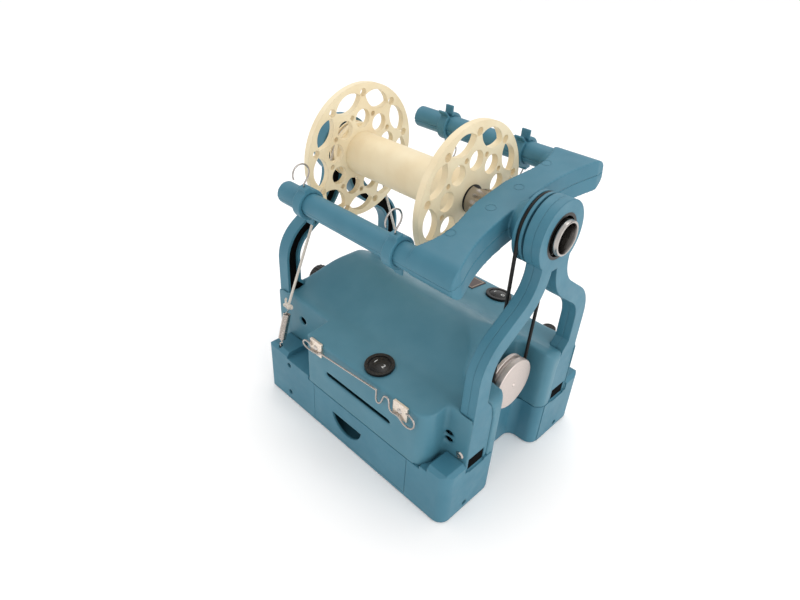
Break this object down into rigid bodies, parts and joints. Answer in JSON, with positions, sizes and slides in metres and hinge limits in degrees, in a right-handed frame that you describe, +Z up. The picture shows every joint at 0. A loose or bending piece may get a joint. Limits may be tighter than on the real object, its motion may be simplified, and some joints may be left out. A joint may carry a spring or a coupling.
{
  "type": "electric spinning wheel",
  "caption": "Table top electric spinning wheel with a belt driven flyer, openwork bobbin, sliding yarn hooks, string brake and drawer.",
  "frame": {"origin": "the middle of the housing's underside, which lies on the table", "axes": "+X along the spindle towards the orifice, -Y towards the drawer, +Z up"},
  "size_m": [0.2361, 0.1795, 0.2645],
  "materials": {
    "teal_plastic": "fine matte moulded plastic",
    "cream_plastic": "satin moulded plastic",
    "black_plastic": "satin",
    "black_rubber": "matte",
    "steel": "turned",
    "bright_steel": "polished",
    "pulley_metal": "turned",
    "zinc_plate": "plated",
    "cotton_cord": "braided",
    "board_green": "varnished",
    "label_dark": "printed film, left bare"
  },
  "bodies": {
    "stand": {"base_housing": "teal_plastic", "rubber_feet": "black_rubber", "top_cover": "teal_plastic", "housing_screws": "steel", "front_upright_face": "teal_plastic", "front_upright_back": "teal_plastic", "rear_upright": "teal_plastic", "foot_screws": "bright_steel", "upright_screws": "steel", "front_bearing_outer_ring": "steel", "rear_bearing_outer_ring": "steel", "motor": "zinc_plate", "motor_bracket": "zinc_plate", "motor_screws": "bright_steel", "control_board": "board_green", "direction_switch_body": "black_plastic", "power_switch_body": "black_plastic", "speed_pot": "zinc_plate", "dc_jack": "black_plastic", "label_plate": "label_dark", "threader_holders": "pulley_metal", "threader_screws": "bright_steel", "brake_spring": "bright_steel", "brake_cord": "cotton_cord", "drive_belt": "black_rubber"},
    "flyer": {"flyer_upper_shell": "teal_plastic", "flyer_lower_shell": "teal_plastic", "flyer_screws": "steel", "drive_whorl": "teal_plastic", "orifice_tube": "steel", "flyer_shaft": "steel", "front_bearing_inner_ring": "steel", "front_bearing_balls": "bright_steel", "rear_bearing_inner_ring": "steel", "rear_bearing_balls": "bright_steel"},
    "bobbin": {"bobbin_barrel": "cream_plastic", "bobbin_front_flange": "cream_plastic", "bobbin_rear_flange": "cream_plastic", "bobbin_bushings": "black_plastic"},
    "motor_drive": {"motor_pulley": "pulley_metal", "motor_shaft": "steel"},
    "drawer": {"drawer": "teal_plastic"},
    "direction_rocker": {"direction_rocker": "black_plastic"},
    "power_rocker": {"power_rocker": "black_plastic"},
    "speed_knob": {"speed_knob": "black_plastic"},
    "brake_knob": {"brake_knob": "black_plastic", "brake_spool": "zinc_plate"},
    "threading_hook": {"threading_hook": "bright_steel"},
    "clip_near_rear": {"clip_near_rear": "teal_plastic", "clip_wire_near_rear": "bright_steel"},
    "clip_near_front": {"clip_near_front": "teal_plastic", "clip_wire_near_front": "bright_steel"},
    "clip_far_rear": {"clip_far_rear": "teal_plastic", "clip_wire_far_rear": "bright_steel"},
    "clip_far_front": {"clip_far_front": "teal_plastic", "clip_wire_far_front": "bright_steel"}
  },
  "joints": [
    {"name": "flyer_spin", "type": "hinge", "parent": "stand", "child": "flyer", "pos_m": [0, 0, 0.2102], "axis": [1, 0, 0], "continuous": true},
    {"name": "bobbin_spin", "type": "hinge", "parent": "flyer", "child": "bobbin", "pos_m": [0, 0, 0.2102], "axis": [1, 0, 0], "continuous": true},
    {"name": "motor_spin", "type": "hinge", "parent": "stand", "child": "motor_drive", "pos_m": [0, 0, 0.0787], "axis": [1, 0, 0], "continuous": true},
    {"name": "drawer_slide", "type": "slide", "parent": "stand", "child": "drawer", "axis": [0, -1, 0], "range_m": [0, 0.07]},
    {"name": "direction_rock", "type": "hinge", "parent": "stand", "child": "direction_rocker", "pos_m": [0.02, -0.073, 0.09237], "axis": [0, 0.9923, 0.124], "range_deg": [-8, 8]},
    {"name": "power_rock", "type": "hinge", "parent": "stand", "child": "power_rocker", "pos_m": [0.02, 0.073, 0.09237], "axis": [0, 0.9923, -0.124], "range_deg": [-8, 8]},
    {"name": "speed_turn", "type": "hinge", "parent": "stand", "child": "speed_knob", "pos_m": [0.072, 0.078, 0.0675], "axis": [0, 0, 1], "range_deg": [0, 300]},
    {"name": "brake_turn", "type": "hinge", "parent": "stand", "child": "brake_knob", "pos_m": [-0.1173, -0.015, 0.08], "axis": [1, 0, 0], "range_deg": [-360, 360]},
    {"name": "hook_lift_off", "type": "slide", "parent": "stand", "child": "threading_hook", "axis": [0, -1, 0], "range_m": [0, 0.03]},
    {"name": "clip_near_rear_slide", "type": "slide", "parent": "flyer", "child": "clip_near_rear", "axis": [1, 0, 0], "range_m": [-0.0215, 0.0315]},
    {"name": "clip_near_front_slide", "type": "slide", "parent": "flyer", "child": "clip_near_front", "axis": [1, 0, 0], "range_m": [-0.049, 0.0045]},
    {"name": "clip_far_rear_slide", "type": "slide", "parent": "flyer", "child": "clip_far_rear", "axis": [1, 0, 0], "range_m": [-0.028, 0.026]},
    {"name": "clip_far_front_slide", "type": "slide", "parent": "flyer", "child": "clip_far_front", "axis": [1, 0, 0], "range_m": [-0.04, 0.0145]}
  ],
  "couplings": [
    {"joint": "motor_spin", "follows": "flyer_spin", "ratio": 1.1239}
  ]
}
